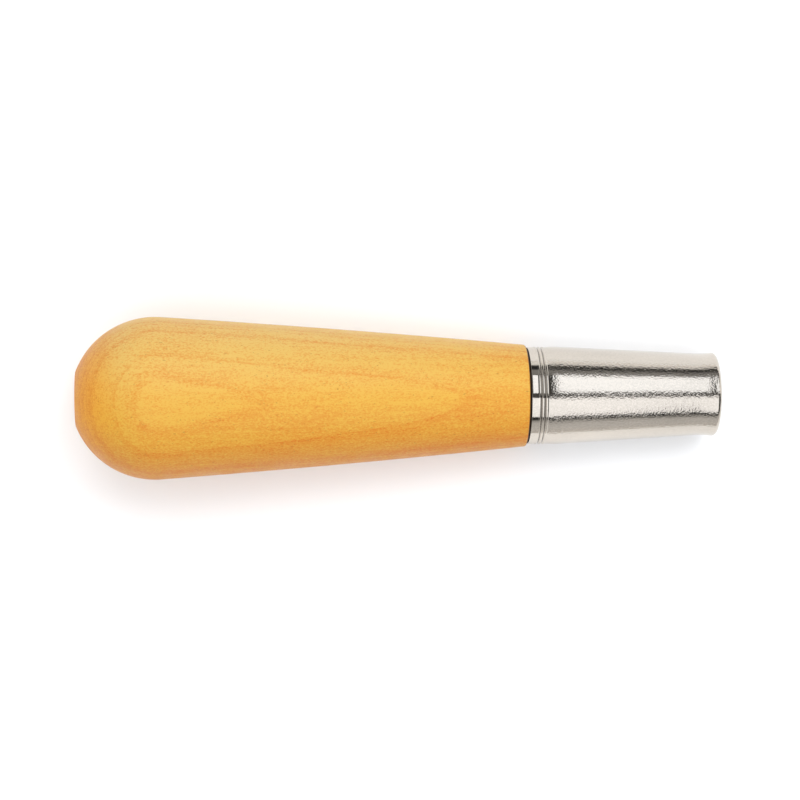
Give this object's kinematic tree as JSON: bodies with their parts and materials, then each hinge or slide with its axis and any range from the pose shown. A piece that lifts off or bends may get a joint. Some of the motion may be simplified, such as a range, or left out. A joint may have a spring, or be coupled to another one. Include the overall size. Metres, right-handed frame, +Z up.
{
  "type": "lino cutter handle",
  "caption": "Pear-shaped varnished hardwood lino-cutter handle with a nickel-plated ferrule and a sprung socket for push-in half-round cutters.",
  "frame": {"origin": "on the table the tool lies on, under the middle of its length", "axes": "+Z up, +X from the butt of the grip towards the mouth of the ferrule, +Y to the left when looking from the butt to the mouth; the tool's own axis leans 4.00 degrees down towards +X, because it rests on its bulb and on the ferrule's lip"},
  "size_m": [0.1206, 0.0302, 0.0303],
  "materials": {
    "varnished_wood": "satin clear varnish",
    "nickel_plate": "nickel plate, brushed lengthwise, polished band at the base",
    "sleeve_steel": "drawn, bright",
    "spring_steel": "rolled, slightly dark from tempering",
    "rivet_steel": "bright"
  },
  "bodies": {
    "handle": {"grip": "varnished_wood", "ferrule": "nickel_plate", "socket_sleeve": "sleeve_steel", "crown_base": "spring_steel", "crown_rivet": "rivet_steel"},
    "leaf_1": {"leaf_1": "spring_steel"},
    "leaf_2": {"leaf_2": "spring_steel"},
    "leaf_3": {"leaf_3": "spring_steel"},
    "leaf_4": {"leaf_4": "spring_steel"}
  },
  "joints": [
    {"name": "leaf_1_flex", "type": "hinge", "parent": "handle", "child": "leaf_1", "pos_m": [0.03623, 0, 0.01353], "axis": [0, 1, 0], "range_deg": [0, 3], "stiffness_Nm_per_rad": 1.5},
    {"name": "leaf_2_flex", "type": "hinge", "parent": "handle", "child": "leaf_2", "pos_m": [0.03594, -0.00407, 0.00948], "axis": [0.0698, 0, 0.9976], "range_deg": [0, 3], "stiffness_Nm_per_rad": 1.5},
    {"name": "leaf_3_flex", "type": "hinge", "parent": "handle", "child": "leaf_3", "pos_m": [0.03566, 0, 0.00542], "axis": [0, -1, 0], "range_deg": [0, 3], "stiffness_Nm_per_rad": 1.5},
    {"name": "leaf_4_flex", "type": "hinge", "parent": "handle", "child": "leaf_4", "pos_m": [0.03594, 0.00407, 0.00948], "axis": [-0.0698, 0, -0.9976], "range_deg": [0, 3], "stiffness_Nm_per_rad": 1.5}
  ]
}
